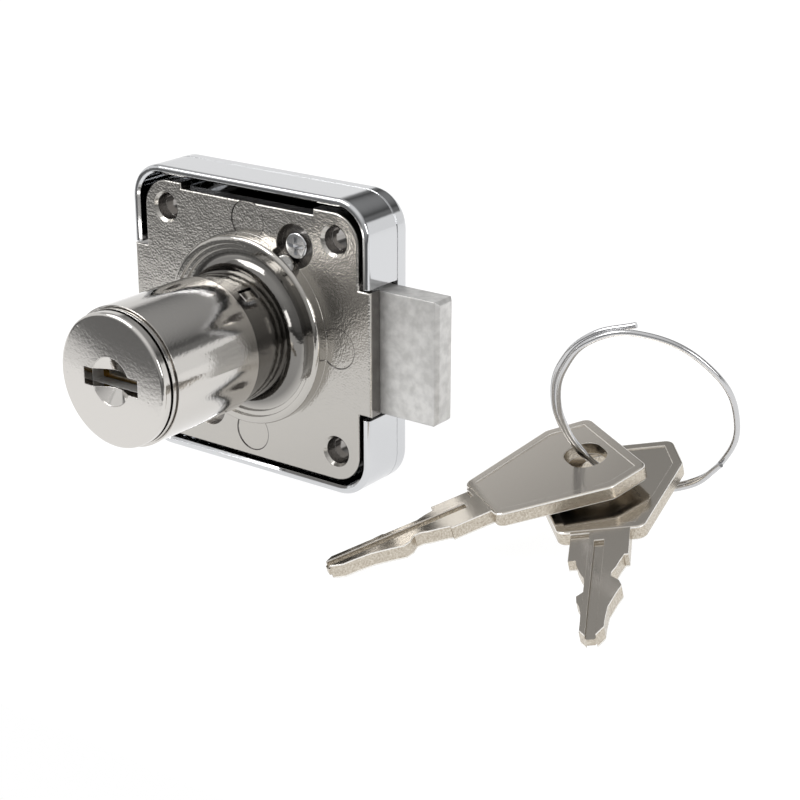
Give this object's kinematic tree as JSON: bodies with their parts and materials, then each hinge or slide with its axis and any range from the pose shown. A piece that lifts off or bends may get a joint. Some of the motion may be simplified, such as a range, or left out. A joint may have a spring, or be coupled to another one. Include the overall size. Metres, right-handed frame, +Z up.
{
  "type": "sliding door lock",
  "caption": "Surface-mounted cylinder lock for a furniture door: square cast case, side bolt, round forward cylinder with turning plug and wafer tumblers, flat keys on a split ring.",
  "frame": {"origin": "where the cylinder's axis meets the front face of the plate, the centre of the four screw holes", "axes": "-Y out of the front along the cylinder, +X the way the bolt comes out, +Z up"},
  "size_m": [0.0874, 0.0431, 0.04],
  "materials": {
    "chrome_cover": "mirror-bright chrome plate on die-cast zinc",
    "cast_nickel_plate": "satin nickel plate over slightly rough cast zinc",
    "bright_nickel": "bright nickel plate with a faint orange peel",
    "zinc_core": "plain die-cast zinc, inside the cylinder",
    "raw_zinc_bolt": "raw matte zinc casting, mottled grey",
    "zinc_screw": "bright zinc-plated steel",
    "wafer_brass": "stamped brass",
    "spring_wire": "drawn spring steel",
    "nickel_key": "warm grey nickel plate, faces smooth, edges rough",
    "ring_steel": "bright drawn steel wire"
  },
  "bodies": {
    "case": {"front_plate": "cast_nickel_plate", "rear_cover": "chrome_cover", "cover_screws": "zinc_screw", "core_sleeve": "bright_nickel"},
    "plug": {"plug": "zinc_core", "face_disc": "bright_nickel", "drive_cam": "zinc_core", "cam_screw": "zinc_screw", "tumbler_spring_1": "spring_wire", "tumbler_spring_2": "spring_wire", "tumbler_spring_3": "spring_wire", "tumbler_spring_4": "spring_wire", "tumbler_spring_5": "spring_wire"},
    "bolt": {"bolt": "raw_zinc_bolt"},
    "retaining_catch": {"retaining_catch": "bright_nickel", "catch_spring": "spring_wire"},
    "tumbler_1": {"tumbler_1": "wafer_brass"},
    "tumbler_2": {"tumbler_2": "wafer_brass"},
    "tumbler_3": {"tumbler_3": "wafer_brass"},
    "tumbler_4": {"tumbler_4": "wafer_brass"},
    "tumbler_5": {"tumbler_5": "wafer_brass"},
    "key_ring": {"key_ring": "ring_steel"},
    "key_1": {"key_1": "nickel_key"},
    "key_2": {"key_2": "nickel_key"}
  },
  "joints": [
    {"name": "plug_turn", "type": "hinge", "parent": "case", "child": "plug", "pos_m": [0, -0.0125, 0], "axis": [0, -1, 0], "range_deg": [0, 180]},
    {"name": "bolt_slide", "type": "slide", "parent": "case", "child": "bolt", "axis": [-1, 0, 0], "range_m": [0, 0.009]},
    {"name": "catch_press", "type": "slide", "parent": "case", "child": "retaining_catch", "axis": [-0.5878, 0, -0.809], "range_m": [0, 0.00085], "stiffness_N_per_m": 300, "springref_m": -0.0005},
    {"name": "tumbler_1_slide", "type": "slide", "parent": "plug", "child": "tumbler_1", "axis": [-1, 0, 0], "range_m": [0, 0.0008]},
    {"name": "tumbler_2_slide", "type": "slide", "parent": "plug", "child": "tumbler_2", "axis": [1, 0, 0], "range_m": [0, 0.0008]},
    {"name": "tumbler_3_slide", "type": "slide", "parent": "plug", "child": "tumbler_3", "axis": [-1, 0, 0], "range_m": [0, 0.0008]},
    {"name": "tumbler_4_slide", "type": "slide", "parent": "plug", "child": "tumbler_4", "axis": [1, 0, 0], "range_m": [0, 0.0008]},
    {"name": "tumbler_5_slide", "type": "slide", "parent": "plug", "child": "tumbler_5", "axis": [-1, 0, 0], "range_m": [0, 0.0008]},
    {"name": "key_set_lift", "type": "slide", "parent": "case", "child": "key_ring", "axis": [0, 0, 1], "range_m": [0, 0.05]},
    {"name": "key_1_round_ring", "type": "hinge", "parent": "key_ring", "child": "key_1", "pos_m": [0.05546, 0.00717, -0.00177], "axis": [-0.2822, 0.9031, 0.3236], "range_deg": [0, 90]},
    {"name": "key_2_round_ring", "type": "hinge", "parent": "key_ring", "child": "key_2", "pos_m": [0.05546, 0.00717, -0.00177], "axis": [0.2822, -0.9031, -0.3236], "range_deg": [0, 90]}
  ],
  "couplings": [
    {"joint": "plug_turn", "follows": "bolt_slide", "rad_per_m": 349.06}
  ]
}
